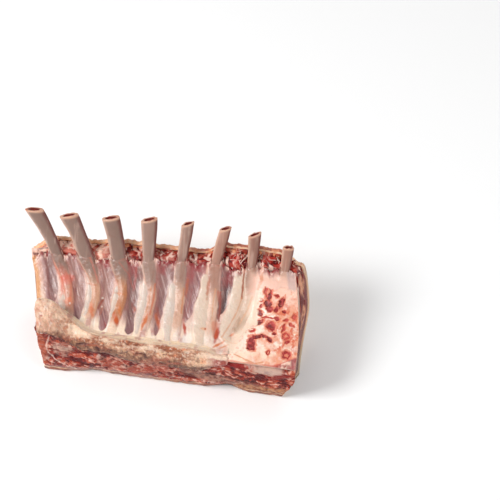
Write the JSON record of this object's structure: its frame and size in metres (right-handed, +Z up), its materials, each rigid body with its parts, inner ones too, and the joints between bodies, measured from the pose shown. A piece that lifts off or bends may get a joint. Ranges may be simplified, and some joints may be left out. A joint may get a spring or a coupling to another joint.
{
  "type": "frenched rack of lamb",
  "caption": "Raw frenched rack of lamb: bare rib bones rising from lean meat, with a fat layer, a gristly backbone ridge and a sawn bone end.",
  "frame": {"origin": "middle of the footprint, on the surface the rack lies on", "axes": "+X along the rack towards the sawn backbone end, +Y from the backbone side towards the bone tips, +Z up"},
  "size_m": [0.205, 0.0815, 0.0915],
  "materials": {
    "lean": "moist",
    "fat": "moist",
    "gristle": "moist",
    "sawn_bone": "matt",
    "white_fat": "moist",
    "bone": "satin",
    "marrow": "matt"
  },
  "bodies": {
    "root": {"lean_meat": "lean", "fat_cap": "fat", "chine_ridge": "gristle", "sawn_bone": "sawn_bone", "fat_pad_2": "white_fat", "fat_pad_3": "white_fat", "fat_pad_4": "white_fat", "fat_pad_5": "white_fat", "fat_pad_6": "white_fat", "fat_pad_7": "white_fat", "rib_1": "bone", "rib_2": "bone", "rib_3": "bone", "rib_4": "bone", "rib_5": "bone", "rib_6": "bone", "rib_7": "bone", "rib_8": "bone", "marrow_1": "marrow", "marrow_2": "marrow", "marrow_3": "marrow", "marrow_4": "marrow", "marrow_5": "marrow", "marrow_6": "marrow", "marrow_7": "marrow", "marrow_8": "marrow"}
  },
  "joints": []
}
